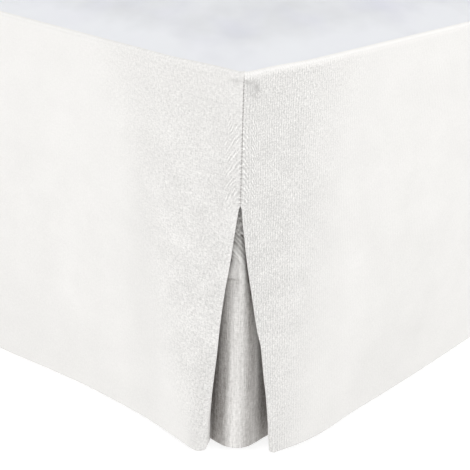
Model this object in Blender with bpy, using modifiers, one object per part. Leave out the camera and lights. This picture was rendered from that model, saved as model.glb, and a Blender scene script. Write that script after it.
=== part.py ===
"""Bed skirt with split foot corners, on a box spring and its steel frame.

A flat deck lies on the box spring, and three plain drops hang from its edge: one across the foot and one
along each side. The head end is open. At each foot corner the two drops are sewn to each other for the upper
part of the seam. Below it their edges are turned in and stand apart, and an insert hangs behind the split.

Metres, +Z up, X across the bed, the foot end at -Y, the floor at Z = 0. The origin is the middle of the
footprint.
"""
import math
from collections import namedtuple

import bmesh
import bpy
from mathutils import Vector

# Bed and skirt
BED_WIDTH = 1.524
BED_LENGTH = 2.032
DECK_TOP = 0.389
DROP = 0.381
SHEET = 0.0015
DECK_SHEET = 0.0015
CLEARANCE = 0.0003

# Corner seam and split, measured down from the deck
SEAM_LENGTH = 0.119
SEAM_GAP = 0.0005
CORNER_RADIUS = 0.012
CORNER_PULL = 0.006
PULL_REACH = (0.033, 0.100)
SWING_CURVE = 1.25

# Turned-in edge beside a split: first along the sewn seam, then how it changes toward the hem
ROUNDING_DEG = (45.0, 8.0)
ROUNDING_CURVE = 1.5
SEAM_TURN_DEG = 138.0
TURN_CURVE = 3.0
SEAM_FOLD_RADIUS = 0.0020
RADIUS_CURVE = 2.0
SEAM_RETURN = 0.005
RETURN_CURVE = 1.6

# Insert behind a corner: its value under the deck, then at the hem
INSERT_FOOT_INSET = (0.009, 0.020)
INSERT_SIDE_INSET = (0.009, 0.015)
INSERT_RADIUS = (0.045, 0.014)
INSERT_REACH = 0.095

# Box spring and frame
BOX_HEIGHT = 0.229
BOX_SIDE_INSET = 0.017
BOX_FOOT_INSET = 0.020
BOX_HEAD_INSET = 0.002
BOX_CORNER_RADIUS = 0.045
BOX_EDGE_RADIUS = 0.008
RAIL_SIZE = 0.038
RAIL_X = 0.680
RAIL_OVERHANG = 0.060
LEG_RADIUS = 0.0225
LEG_ROWS = {"foot": -0.880, "middle": 0.0, "head": 0.880}

# Steps of the meshes
ROW_DEPTHS = (0.0, 0.040, 0.080, SEAM_LENGTH, 0.134, 0.158, 0.195, 0.240, 0.290, 0.340, DROP)
CORNER_STEPS = 3
FOLD_STEPS = 4
RETURN_STEPS = 1
FOOT_COLUMNS = 25
SIDE_COLUMNS = 29
INSERT_ARC_STEPS = 8
INSERT_RUN_STEPS = 4
BOX_CORNER_STEPS = 6
BOX_EDGE_STEPS = 2
LEG_SIDES = 20
SHARP_DEG = 40.0
SQUARE_DEG = 60.0

# How far an edge stands back from the seam at the hem and how it gets there, then its fold at the hem
Split = namedtuple("Split", "opening curve turn_deg radius back")
RIGHT_FOOT_SPLIT = Split(opening=0.032, curve=0.90, turn_deg=121.0, radius=0.007, back=0.015)
RIGHT_SIDE_SPLIT = Split(opening=0.039, curve=1.05, turn_deg=138.0, radius=0.003, back=0.014)
LEFT_FOOT_SPLIT = Split(opening=0.036, curve=1.00, turn_deg=130.0, radius=0.005, back=0.014)
LEFT_SIDE_SPLIT = Split(opening=0.034, curve=0.90, turn_deg=134.0, radius=0.004, back=0.014)

# Soft folds: distance from the foot corner along the drop, and how far the hem swings out there
Fold = namedtuple("Fold", "along swing")
FOOT_FOLDS = (
    Fold(0.010, 0.000),
    Fold(0.045, 0.006),
    Fold(0.070, 0.004),
    Fold(0.102, 0.001),
    Fold(0.165, 0.000),
    Fold(0.227, 0.002),
    Fold(0.288, 0.009),
    Fold(0.349, 0.017),
    Fold(0.430, 0.019),
    Fold(0.560, 0.009),
    Fold(0.700, 0.004),
    Fold(0.860, 0.008),
    Fold(1.010, 0.014),
    Fold(1.130, 0.008),
    Fold(1.260, 0.002),
    Fold(1.380, 0.002),
    Fold(1.470, 0.008),
    Fold(1.514, 0.000),
)
RIGHT_FOLDS = (
    Fold(0.010, 0.000),
    Fold(0.050, 0.011),
    Fold(0.078, 0.017),
    Fold(0.107, 0.019),
    Fold(0.160, 0.016),
    Fold(0.211, 0.015),
    Fold(0.288, 0.012),
    Fold(0.353, 0.008),
    Fold(0.430, 0.004),
    Fold(0.560, 0.003),
    Fold(0.700, 0.009),
    Fold(0.860, 0.014),
    Fold(1.030, 0.007),
    Fold(1.220, 0.003),
    Fold(1.430, 0.009),
    Fold(1.640, 0.013),
    Fold(1.840, 0.006),
    Fold(BED_LENGTH, 0.009),
)
LEFT_FOLDS = (
    Fold(0.010, 0.000),
    Fold(0.050, 0.009),
    Fold(0.090, 0.016),
    Fold(0.130, 0.019),
    Fold(0.200, 0.013),
    Fold(0.300, 0.006),
    Fold(0.430, 0.003),
    Fold(0.580, 0.010),
    Fold(0.740, 0.015),
    Fold(0.920, 0.008),
    Fold(1.120, 0.002),
    Fold(1.320, 0.006),
    Fold(1.520, 0.013),
    Fold(1.710, 0.009),
    Fold(1.880, 0.004),
    Fold(BED_LENGTH, 0.007),
)

# Colours: base colour, roughness, metallic
LINEN = ((0.82, 0.81, 0.79), 0.85, 0.0)
DECK_CLOTH = ((0.80, 0.82, 0.86), 0.80, 0.0)
TICKING = ((0.78, 0.77, 0.74), 0.85, 0.0)
PAINTED_STEEL = ((0.05, 0.05, 0.055), 0.45, 0.6)


def mix(pair, part):
    """Value between the two of a pair, at a part from 0 to 1."""
    return pair[0] + (pair[1] - pair[0]) * part


def ease(part):
    """Smooth step from 0 to 1."""
    part = min(max(part, 0.0), 1.0)
    return part * part * (3.0 - 2.0 * part)


def fold_swing(folds, along):
    """Swing of the hem at a place, on a smooth curve through the table's rows."""
    if along <= folds[0].along:
        return folds[0].swing
    if along >= folds[-1].along:
        return folds[-1].swing
    row = max(index for index, fold in enumerate(folds) if fold.along <= along)

    def slope(index):
        before = folds[max(index - 1, 0)]
        after = folds[min(index + 1, len(folds) - 1)]
        return (after.swing - before.swing) / (after.along - before.along)

    span = folds[row + 1].along - folds[row].along
    part = (along - folds[row].along) / span
    rise = part * part * (3.0 - 2.0 * part)
    leave = part * (1.0 - part) ** 2
    arrive = part * part * (part - 1.0)
    swing = folds[row].swing + (folds[row + 1].swing - folds[row].swing) * rise
    return swing + span * (leave * slope(row) + arrive * slope(row + 1))


def pull_at(from_corner, depth):
    """How far the cloth is pulled in beside a corner, most at the deck and not at all at the hem."""
    start, end = PULL_REACH
    return CORNER_PULL * (1.0 - ease((from_corner - start) / (end - start))) * (1.0 - depth / DROP)


def swing_at(folds, along, depth):
    """How far the cloth has swung out at one depth."""
    return fold_swing(folds, along) * (depth / DROP) ** SWING_CURVE


def split_part(depth):
    """0 along the sewn seam, growing to 1 at the hem."""
    return max(0.0, (depth - SEAM_LENGTH) / (DROP - SEAM_LENGTH))


def edge_tip(split, depth):
    """Distance from the corner to the outermost point of the turned-in edge."""
    sewn_depth = min(depth, SEAM_LENGTH)
    pull = CORNER_PULL * (1.0 - sewn_depth / DROP)
    sine = math.sin(math.radians(ROUNDING_DEG[0]))
    rounding = CORNER_RADIUS * (1.0 - sine)
    fold = SEAM_FOLD_RADIUS * (3.0 * sine - 1.0)
    at_seam = pull + rounding + fold + SEAM_GAP * sine
    return at_seam + split.opening * split_part(depth) ** split.curve


def turned_edge(folds, split, depth):
    """Section of a turned-in edge at one depth, from its outer face to the end of its return.

    Each point is (distance from the corner, distance inward). The cloth rounds the corner, folds tightly,
    and runs inward.
    """
    part = split_part(depth)
    rounding = math.radians(mix(ROUNDING_DEG, 1.0 - (1.0 - part) ** ROUNDING_CURVE))
    fold_turn = math.radians(mix((SEAM_TURN_DEG, split.turn_deg), part ** TURN_CURVE))
    fold_radius = mix((SEAM_FOLD_RADIUS, split.radius), part ** RADIUS_CURVE)
    sine = math.sin(rounding)
    back = edge_tip(split, depth) + CORNER_RADIUS * sine + fold_radius * (1.0 - sine)
    inward = pull_at(back, depth) - swing_at(folds, back, depth)
    points = [(back, inward)]
    for radius, start, end, steps in (
        (CORNER_RADIUS, 0.0, rounding, CORNER_STEPS),
        (fold_radius, rounding, fold_turn, FOLD_STEPS),
    ):
        first = points[-1]
        for step in range(1, steps + 1):
            angle = start + (end - start) * step / steps
            points.append((
                first[0] - radius * (math.sin(angle) - math.sin(start)),
                first[1] + radius * (math.cos(start) - math.cos(angle)),
            ))
    length = mix((SEAM_RETURN, split.back), part ** RETURN_CURVE)
    first = points[-1]
    for step in range(1, RETURN_STEPS + 1):
        reach = length * step / RETURN_STEPS
        points.append((
            first[0] - reach * math.cos(fold_turn),
            first[1] + reach * math.sin(fold_turn),
        ))
    return points


def mirrored_folds(folds, length):
    """The same folds, measured from the other end."""
    return tuple(Fold(length - fold.along, fold.swing) for fold in reversed(folds))


def crowded(part):
    """Even steps from 0 to 1, drawn together at both ends."""
    return 0.5 * part + 0.25 * (1.0 - math.cos(math.pi * part))


def crowded_at_start(part):
    """Even steps from 0 to 1, drawn together at the start."""
    return 0.5 * part + 0.5 * (1.0 - math.cos(math.pi * part / 2.0))


def foot_section(depth):
    """Section of the foot drop, from the left corner to the right one: (along, inward)."""
    left_folds = mirrored_folds(FOOT_FOLDS, BED_WIDTH)
    left_edge = turned_edge(left_folds, LEFT_FOOT_SPLIT, depth)
    right_edge = turned_edge(FOOT_FOLDS, RIGHT_FOOT_SPLIT, depth)
    start = left_edge[0][0]
    end = BED_WIDTH - right_edge[0][0]
    points = list(reversed(left_edge))
    for column in range(1, FOOT_COLUMNS):
        along = start + (end - start) * crowded(column / FOOT_COLUMNS)
        pull = pull_at(min(along, BED_WIDTH - along), depth)
        points.append((along, pull - swing_at(left_folds, along, depth)))
    points.extend((BED_WIDTH - along, inward) for along, inward in right_edge)
    return points


def side_section(folds, split, depth):
    """Section of a side drop, from the foot corner to the head: (along, inward)."""
    edge = turned_edge(folds, split, depth)
    start = edge[0][0]
    points = list(reversed(edge))
    for column in range(1, SIDE_COLUMNS + 1):
        along = start + (BED_LENGTH - start) * crowded_at_start(column / SIDE_COLUMNS)
        points.append((along, pull_at(along, depth) - swing_at(folds, along, depth)))
    return points


def insert_section(depth):
    """Section of an insert around its corner, from the foot drop's side to the side drop's.

    Each point is (distance from the corner along the foot, distance from the corner along the side).
    """
    part = depth / DROP
    foot_inset = mix(INSERT_FOOT_INSET, part)
    side_inset = mix(INSERT_SIDE_INSET, part)
    radius = mix(INSERT_RADIUS, part)
    centre = (side_inset + radius, foot_inset + radius)
    points = []
    for step in range(INSERT_RUN_STEPS):
        points.append((INSERT_REACH + (centre[0] - INSERT_REACH) * step / INSERT_RUN_STEPS, foot_inset))
    for step in range(INSERT_ARC_STEPS + 1):
        angle = math.pi / 2.0 * step / INSERT_ARC_STEPS
        points.append((centre[0] - radius * math.sin(angle), centre[1] - radius * math.cos(angle)))
    for step in range(1, INSERT_RUN_STEPS + 1):
        points.append((side_inset, centre[1] + (INSERT_REACH - centre[1]) * step / INSERT_RUN_STEPS))
    return points


def deck_outline():
    """Outline of the deck, flush with the top of the drops: (x, y), starting at the right of the head end."""
    half_width = BED_WIDTH / 2.0
    foot = [(along - half_width, inward - BED_LENGTH / 2.0) for along, inward in foot_section(0.0)]
    folded = CORNER_STEPS + FOLD_STEPS + RETURN_STEPS
    along_foot = foot[folded - CORNER_STEPS:len(foot) - folded + CORNER_STEPS]
    right = side_section(RIGHT_FOLDS, RIGHT_SIDE_SPLIT, 0.0)[folded - CORNER_STEPS:]
    left = side_section(LEFT_FOLDS, LEFT_SIDE_SPLIT, 0.0)[folded - CORNER_STEPS:]
    along_right = [(half_width - inward, along - BED_LENGTH / 2.0) for along, inward in right]
    along_left = [(inward - half_width, along - BED_LENGTH / 2.0) for along, inward in reversed(left)]
    return along_foot + along_right + along_left


def painted(name, look):
    """Material with a base colour, roughness and metallic value."""
    colour, roughness, metallic = look
    material = bpy.data.materials.new(name)
    material.use_nodes = True
    shader = material.node_tree.nodes["Principled BSDF"]
    shader.inputs["Base Color"].default_value = (*colour, 1.0)
    shader.inputs["Roughness"].default_value = roughness
    shader.inputs["Metallic"].default_value = metallic
    material.diffuse_color = (*colour, 1.0)
    return material


def keep(part, parent, collection, look):
    """Gives a finished piece its collection, parent and material."""
    for other in list(part.users_collection):
        other.objects.unlink(part)
    collection.objects.link(part)
    part.parent = parent
    part.data.materials.clear()
    part.data.materials.append(painted(part.name, look))
    return part


def hung_sheet(name, section, location, turn_deg, parent, collection, look):
    """Sheet of cloth whose section at each depth is given, thickened inward from its outer face."""
    rows = [section(depth) for depth in ROW_DEPTHS]
    top = DECK_TOP - DECK_SHEET - CLEARANCE
    hem = DECK_TOP - DROP
    across = len(rows[0]) - 1
    down = len(ROW_DEPTHS) - 1
    mesh = bpy.data.meshes.new(name)
    grid = bmesh.new()
    bmesh.ops.create_grid(grid, x_segments=across, y_segments=down, size=0.5)
    for vert in grid.verts:
        column = round((vert.co.x + 0.5) * across)
        row = round((0.5 - vert.co.y) * down)
        along, inward = rows[row][column]
        height = top - (top - hem) * ROW_DEPTHS[row] / DROP
        vert.co = Vector((along, inward, height))
    grid.to_mesh(mesh)
    grid.free()
    mesh.shade_smooth()
    part = bpy.data.objects.new(name, mesh)
    part.location = (*location, 0.0)
    part.rotation_euler = (0.0, 0.0, math.radians(turn_deg))
    thick = part.modifiers.new("Cloth thickness", "SOLIDIFY")
    thick.thickness = SHEET
    thick.offset = -1.0
    return keep(part, parent, collection, look)


def right_insert_section(depth):
    """Insert behind the right corner, in the plane: (x, y) from the corner."""
    return [(-foot, side) for foot, side in insert_section(depth)]


def left_insert_section(depth):
    """Insert behind the left corner, in the plane: (x, y) from the corner."""
    return [(foot, side) for foot, side in reversed(insert_section(depth))]


def flat_sheet(name, outline, parent, collection, look):
    """Flat sheet cut to an outline, its top face at the deck's height."""
    curve = bpy.data.curves.new(name, "CURVE")
    curve.dimensions = "2D"
    curve.fill_mode = "BOTH"
    curve.extrude = DECK_SHEET / 2.0
    spline = curve.splines.new("POLY")
    spline.points.add(len(outline) - 1)
    for point, (x, y) in zip(spline.points, outline):
        point.co = (x, y, 0.0, 1.0)
    spline.use_cyclic_u = True
    part = bpy.data.objects.new(name, curve)
    part.location = (0.0, 0.0, DECK_TOP - DECK_SHEET / 2.0)
    return keep(part, parent, collection, look)


def block(name, low, high, parent, collection, look):
    """Box between two opposite corners."""
    bpy.ops.mesh.primitive_cube_add(size=1.0)
    part = bpy.context.object
    part.name = name
    part.data.name = name
    low = Vector(low)
    high = Vector(high)
    for vert in part.data.vertices:
        vert.co = Vector(side * length for side, length in zip(vert.co, high - low))
    part.location = (low + high) / 2.0
    return keep(part, parent, collection, look)


def box_spring(parent, collection):
    """Upholstered block with rounded corners and softly rounded edges, under the deck."""
    half_width = BED_WIDTH / 2.0 - BOX_SIDE_INSET
    top = DECK_TOP - DECK_SHEET - CLEARANCE
    low = (-half_width, BOX_FOOT_INSET - BED_LENGTH / 2.0, top - BOX_HEIGHT)
    high = (half_width, BED_LENGTH / 2.0 - BOX_HEAD_INSET, top)
    part = block("box_spring", low, high, parent, collection, TICKING)
    body = bmesh.new()
    body.from_mesh(part.data)
    upright = [edge for edge in body.edges if abs(edge.verts[0].co.z - edge.verts[1].co.z) > BOX_HEIGHT / 2.0]
    bmesh.ops.bevel(
        body, geom=upright, offset=BOX_CORNER_RADIUS, segments=BOX_CORNER_STEPS, profile=0.5, affect="EDGES",
    )
    body.to_mesh(part.data)
    body.free()
    part.data.shade_smooth()
    part.data.set_sharp_from_angle(angle=math.radians(SHARP_DEG))
    edges = part.modifiers.new("Soft edges", "BEVEL")
    edges.width = BOX_EDGE_RADIUS
    edges.segments = BOX_EDGE_STEPS
    edges.limit_method = "ANGLE"
    edges.angle_limit = math.radians(SQUARE_DEG)
    return low[2]


def frame(parent, collection, rest):
    """Square-tube rails under the box spring, with a leg under each joint and one in the middle."""
    top = rest - CLEARANCE
    bottom = top - RAIL_SIZE
    half_rail = RAIL_SIZE / 2.0
    end = max(LEG_ROWS.values()) + RAIL_OVERHANG
    for side, middle in (("left", -RAIL_X), ("right", RAIL_X)):
        low = (middle - half_rail, -end, bottom)
        high = (middle + half_rail, end, top)
        block(f"side_rail_{side}", low, high, parent, collection, PAINTED_STEEL)
    reach = RAIL_X - half_rail - CLEARANCE
    for row, middle in LEG_ROWS.items():
        low = (-reach, middle - half_rail, bottom)
        high = (reach, middle + half_rail, top)
        block(f"cross_rail_{row}", low, high, parent, collection, PAINTED_STEEL)
        for side, x in (("left", -RAIL_X), ("right", RAIL_X)):
            leg(f"leg_{row}_{side}", x, middle, bottom - CLEARANCE, parent, collection)
    leg("leg_centre", 0.0, LEG_ROWS["middle"], bottom - CLEARANCE, parent, collection)


def leg(name, x, y, height, parent, collection):
    """Round leg that stands on the floor."""
    bpy.ops.mesh.primitive_cylinder_add(vertices=LEG_SIDES, radius=LEG_RADIUS, depth=height)
    part = bpy.context.object
    part.name = name
    part.data.name = name
    part.location = (x, y, height / 2.0)
    part.data.shade_smooth()
    part.data.set_sharp_from_angle(angle=math.radians(SHARP_DEG))
    keep(part, parent, collection, PAINTED_STEEL)


def centre_on_origin(parent, collection):
    """Moves the whole bed so that the box around it has its middle at X = Y = 0."""
    bpy.context.view_layer.update()
    graph = bpy.context.evaluated_depsgraph_get()
    corners = [
        part.matrix_world @ Vector(corner)
        for part in collection.objects if part.type == "MESH"
        for corner in part.evaluated_get(graph).bound_box
    ]
    for axis in (0, 1):
        values = [corner[axis] for corner in corners]
        parent.location[axis] = -(min(values) + max(values)) / 2.0


def main():
    """Builds the bed skirt, its box spring and the frame."""
    for other in list(bpy.data.objects):
        bpy.data.objects.remove(other)
    collection = bpy.data.collections.new("bed_skirt")
    bpy.context.scene.collection.children.link(collection)
    parent = bpy.data.objects.new("bed", None)
    collection.objects.link(parent)

    half_width = BED_WIDTH / 2.0
    half_length = BED_LENGTH / 2.0
    flat_sheet("deck", deck_outline(), parent, collection, DECK_CLOTH)
    hung_sheet("foot_drop", foot_section, (-half_width, -half_length), 0.0, parent, collection, LINEN)
    hung_sheet(
        "side_drop_right",
        lambda depth: side_section(RIGHT_FOLDS, RIGHT_SIDE_SPLIT, depth),
        (half_width, -half_length), 90.0, parent, collection, LINEN,
    )
    hung_sheet(
        "side_drop_left",
        lambda depth: [
            (BED_LENGTH - along, inward)
            for along, inward in reversed(side_section(LEFT_FOLDS, LEFT_SIDE_SPLIT, depth))
        ],
        (-half_width, half_length), -90.0, parent, collection, LINEN,
    )
    for side, section, x in (
        ("right", right_insert_section, half_width),
        ("left", left_insert_section, -half_width),
    ):
        hung_sheet(f"corner_insert_{side}", section, (x, -half_length), 0.0, parent, collection, LINEN)
    rest = box_spring(parent, collection)
    frame(parent, collection, rest)
    centre_on_origin(parent, collection)


main()
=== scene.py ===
"""Bed skirt with split foot corners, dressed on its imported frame.

Every sheet is worked out on a grid: its columns follow the cloth's section from one edge to the other, and
its rows go down from the deck. Lengths are in metres, +Z is up, and the foot of the bed is at -Y.
"""
import math
from collections import namedtuple

import bpy
import numpy as np
from bpy.props import FloatProperty, FloatVectorProperty, PointerProperty
from mathutils import Matrix, Vector


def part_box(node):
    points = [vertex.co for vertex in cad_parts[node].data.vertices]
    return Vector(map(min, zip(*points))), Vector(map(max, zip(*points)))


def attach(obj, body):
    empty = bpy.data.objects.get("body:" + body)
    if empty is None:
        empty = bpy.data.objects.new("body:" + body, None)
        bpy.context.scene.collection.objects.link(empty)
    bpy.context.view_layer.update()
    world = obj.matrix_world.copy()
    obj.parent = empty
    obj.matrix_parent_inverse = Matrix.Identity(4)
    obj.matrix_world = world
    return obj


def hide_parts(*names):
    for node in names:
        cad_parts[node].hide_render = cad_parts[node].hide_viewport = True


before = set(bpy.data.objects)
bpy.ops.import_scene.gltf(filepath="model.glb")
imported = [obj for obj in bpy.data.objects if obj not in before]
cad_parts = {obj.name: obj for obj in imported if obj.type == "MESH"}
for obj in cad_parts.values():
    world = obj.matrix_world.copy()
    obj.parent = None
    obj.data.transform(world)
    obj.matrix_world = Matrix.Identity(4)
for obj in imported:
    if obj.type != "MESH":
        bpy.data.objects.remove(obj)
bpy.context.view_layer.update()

bl_info = {
    "name": "Bed skirt with split corners",
    "version": (1, 0, 0),
    "blender": (4, 5, 0),
    "location": "3D View > Sidebar > Bed skirt",
    "description": "Makes a tailored bed skirt, its box spring and its studio",
    "category": "Object",
}

# Outline of the bed, from the frame
DECK_LOW, DECK_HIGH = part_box("deck")
DROP_LOW, DROP_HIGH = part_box("foot_drop")
BOX_LOW, BOX_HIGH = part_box("box_spring")
WIDTH = DECK_HIGH[0] - DECK_LOW[0]
LENGTH = DECK_HIGH[1] - DECK_LOW[1]
TOP = DECK_HIGH[2]
PANEL_TOP = DROP_HIGH[2]
HEM = DROP_LOW[2]
DROP = TOP - HEM
FALL = (PANEL_TOP - HEM) / DROP

# Corner seam and split, as in the solids but with a thinner, tighter fold
SEAM = 0.1174
SEAM_GAP = 0.0001
CORNER_RADIUS = 0.012
CORNER_PULL = 0.006
PULL_REACH = (0.033, 0.100)
SWING_CURVE = 1.25
ROUNDING_DEG = (45.0, 8.0)
ROUNDING_CURVE = 1.5
SEAM_TURN_DEG = 138.0
TURN_CURVE = 3.0
SEAM_FOLD_RADIUS = 0.0008
RADIUS_CURVE = 2.0
SEAM_RETURN = 0.005
RETURN_CURVE = 1.6
RETURN_START = 0.016
CLOSING = 0.040
APEX_GAP = 0.0010

# Insert: its insets and radius at the deck and at the hem, its straight reach, its swell, and its painted
# shade and light
INSERT_FOOT_INSET = (0.009, 0.020)
INSERT_SIDE_INSET = (0.009, 0.015)
INSERT_RADIUS = (0.045, 0.022)
INSERT_REACH = 0.095
INSERT_FORWARD = 0.008
INSERT_SWELL = 0.020
INSERT_SWIRL = 0.0050
SWIRL_HEIGHT = 0.00048
TANGLE_HEIGHT = 0.00050
INSERT_FOLD_SHADING = 330.0
# Painted shading across the insert by distance around from its ridge: painted shade on the flanks that the
# drops shade, painted light along the ridge, as shares of its range from dark to pale
INSERT_PAINTED_SHADING = (
    (-0.034, 0.00), (-0.024, 0.07), (-0.012, 0.33), (-0.006, 0.58), (0.000, 0.60), (0.005, 0.49),
    (0.010, 0.33), (0.018, 0.36), (0.026, 0.15), (0.036, 0.03),
)

# Sewing
ROLL_RADIUS = 0.0040
ROLL_DEG = 112.0
ROLL_RISE = 0.0004
HEM_DEPTH = 0.025
HEAD_HEM = 0.012
HEM_STEP = 0.0004
HEM_LINE = 0.00030
EDGE_ALLOWANCE = 0.045
TOP_ALLOWANCE = 0.013
CUT_DROP = DROP + HEM_DEPTH + TOP_ALLOWANCE
STITCH_PITCH = 0.0033
STITCH_HALF = 0.0012
THREAD_RADIUS = 0.00018
PUCKER_PITCH = 0.0049
PUCKER_HEIGHT = 0.00008
PUCKER_BEND = 14.0
# Painted shade and light of the puckers: darker in their hollows, paler on their ridges, as a share of the
# cloth's range from dark to pale
PUCKER_PAINTED_SHADING = 0.86
# Painted shade in the dents, as a share of the cloth's range for each metre of dent
DENT_PAINTED_SHADE = 330.0
FLAT_CORNER = 0.0090

Split = namedtuple("Split", "opening curve turn_deg radius back wander")
# Turned-in edges of the splits. Wander is a table: how far down the split, and how far the edge strays there
RIGHT_FOOT_WANDER = (
    (0.00, 0.0000), (0.06, -0.0005), (0.14, -0.0010), (0.22, -0.0012), (0.32, -0.0002), (0.46, -0.0001),
    (0.58, -0.0008), (0.68, -0.0006), (0.80, 0.0000), (1.00, 0.0000),
)
RIGHT_SIDE_WANDER = (
    (0.00, 0.0000), (0.06, -0.0006), (0.14, -0.0013), (0.24, -0.0012), (0.34, -0.0004), (0.42, 0.0001),
    (0.49, 0.0010), (0.555, 0.0028), (0.62, 0.0024), (0.70, 0.0018), (0.76, 0.0015), (0.84, 0.0003),
    (0.92, -0.0010), (1.00, -0.0024),
)
LEFT_WANDER = ((0.00, 0.0000), (0.18, -0.0010), (0.40, 0.0006), (0.62, -0.0006), (1.00, 0.0000))
SPLITS = {
    "right_foot": Split(0.032, 0.90, turn_deg=121.0, radius=0.007, back=0.015, wander=RIGHT_FOOT_WANDER),
    "right_side": Split(0.039, 1.05, turn_deg=138.0, radius=0.004, back=0.014, wander=RIGHT_SIDE_WANDER),
    "left_foot": Split(0.036, 1.00, turn_deg=130.0, radius=0.005, back=0.014, wander=LEFT_WANDER),
    "left_side": Split(0.034, 0.90, turn_deg=134.0, radius=0.004, back=0.014, wander=LEFT_WANDER),
}

# Soft folds: distance from the foot corner along the drop, and how far the hem swings out there
FOOT_FOLDS = (
    (0.010, 0.000), (0.045, 0.006), (0.070, 0.004), (0.102, 0.001), (0.165, 0.000), (0.227, 0.002),
    (0.288, 0.009), (0.349, 0.017), (0.430, 0.019), (0.560, 0.009), (0.700, 0.004), (0.860, 0.008),
    (1.010, 0.014), (1.130, 0.008), (1.260, 0.002), (1.380, 0.002), (1.470, 0.008), (1.514, 0.000),
)
RIGHT_FOLDS = (
    (0.010, 0.000), (0.050, 0.011), (0.078, 0.017), (0.107, 0.019), (0.160, 0.016), (0.211, 0.015),
    (0.288, 0.012), (0.353, 0.008), (0.430, 0.004), (0.560, 0.003), (0.700, 0.009), (0.860, 0.014),
    (1.030, 0.007), (1.220, 0.003), (1.430, 0.009), (1.640, 0.013), (1.840, 0.006), (LENGTH, 0.009),
)
LEFT_FOLDS = (
    (0.010, 0.000), (0.050, 0.009), (0.090, 0.016), (0.130, 0.019), (0.200, 0.013), (0.300, 0.006),
    (0.430, 0.003), (0.580, 0.010), (0.740, 0.015), (0.920, 0.008), (1.120, 0.002), (1.320, 0.006),
    (1.520, 0.013), (1.710, 0.009), (1.880, 0.004), (LENGTH, 0.007),
)

# Creases placed one by one: middle (along, depth), half length and half width, lean from upright, height
Crease = namedtuple("Crease", "along depth length width lean_deg height")
FOOT_CREASES = (
    Crease(0.135, 0.230, 0.170, 0.022, 3.0, -0.0011),
    Crease(0.085, 0.250, 0.140, 0.018, -4.0, 0.0007),
    Crease(0.232, 0.200, 0.060, 0.030, 12.0, 0.0010),
    Crease(0.295, 0.300, 0.060, 0.030, 8.0, -0.0012),
    Crease(0.190, 0.110, 0.080, 0.030, -10.0, 0.0006),
    Crease(0.520, 0.180, 0.120, 0.040, 6.0, 0.0012),
    Crease(0.780, 0.240, 0.130, 0.045, -5.0, -0.0012),
    Crease(1.080, 0.200, 0.140, 0.040, 4.0, 0.0012),
    Crease(1.300, 0.260, 0.110, 0.035, -7.0, -0.0010),
)
RIGHT_CREASES = (
    Crease(0.118, 0.230, 0.130, 0.022, -3.0, 0.0011),
    Crease(0.080, 0.150, 0.120, 0.020, 5.0, -0.0006),
    Crease(0.195, 0.210, 0.060, 0.024, -8.0, -0.0010),
    Crease(0.250, 0.315, 0.014, 0.110, 0.0, -0.0008),
    Crease(0.330, 0.150, 0.100, 0.040, 8.0, 0.0009),
    Crease(0.610, 0.220, 0.120, 0.045, -6.0, 0.0012),
    Crease(0.980, 0.190, 0.140, 0.050, 5.0, -0.0012),
    Crease(1.400, 0.240, 0.130, 0.050, -4.0, 0.0012),
    Crease(1.780, 0.200, 0.120, 0.045, 6.0, -0.0010),
)
LEFT_CREASES = (
    Crease(0.150, 0.220, 0.140, 0.030, 4.0, 0.0011),
    Crease(0.420, 0.200, 0.130, 0.045, -6.0, -0.0011),
    Crease(0.830, 0.230, 0.130, 0.050, 5.0, 0.0012),
    Crease(1.240, 0.190, 0.120, 0.045, -5.0, -0.0011),
    Crease(1.640, 0.240, 0.130, 0.050, 4.0, 0.0012),
)
# Small dents where the corner seam pulls at the top of the right drop, with painted shade in them
DENTS = (
    Crease(0.0125, 0.0062, 0.0072, 0.0020, -80.0, -0.0013),
    Crease(0.0220, 0.0110, 0.0060, 0.0030, -32.0, -0.0013),
    Crease(0.0235, 0.0140, 0.0036, 0.0024, 20.0, -0.0006),
    Crease(0.0160, 0.0125, 0.0070, 0.0036, -50.0, -0.0005),
    Crease(0.0165, 0.0170, 0.0040, 0.0014, -34.0, -0.0006),
    Crease(0.0205, 0.0195, 0.0034, 0.0013, -30.0, -0.0006),
)
FOOT_DENTS = (
    Crease(0.0150, 0.0050, 0.0068, 0.0019, -84.0, -0.0008),
)
# Painted shade and light of the drops' soft folds, as creases whose height is a share of the cloth's range
# from dark to pale
FOOT_PAINTED_SHADING = (
    Crease(0.128, 0.230, 0.150, 0.026, 3.0, -0.10),
    Crease(0.286, 0.335, 0.050, 0.090, 0.0, -0.03),
    Crease(0.243, 0.275, 0.018, 0.022, 0.0, 0.05),
    Crease(0.240, 0.120, 0.050, 0.020, 24.0, 0.04),
    Crease(0.022, 0.090, 0.090, 0.026, 0.0, -0.05),
    Crease(0.043, 0.330, 0.070, 0.009, -6.5, -0.10),
)
RIGHT_PAINTED_SHADING = (
    Crease(0.235, 0.330, 0.060, 0.095, -20.0, -0.09),
    Crease(0.185, 0.190, 0.060, 0.014, -22.0, -0.06),
    Crease(0.150, 0.240, 0.090, 0.022, -6.0, 0.03),
    Crease(0.285, 0.240, 0.020, 0.060, 10.0, -0.05),
    Crease(0.115, 0.190, 0.110, 0.034, -6.0, -0.05),
)
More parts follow.
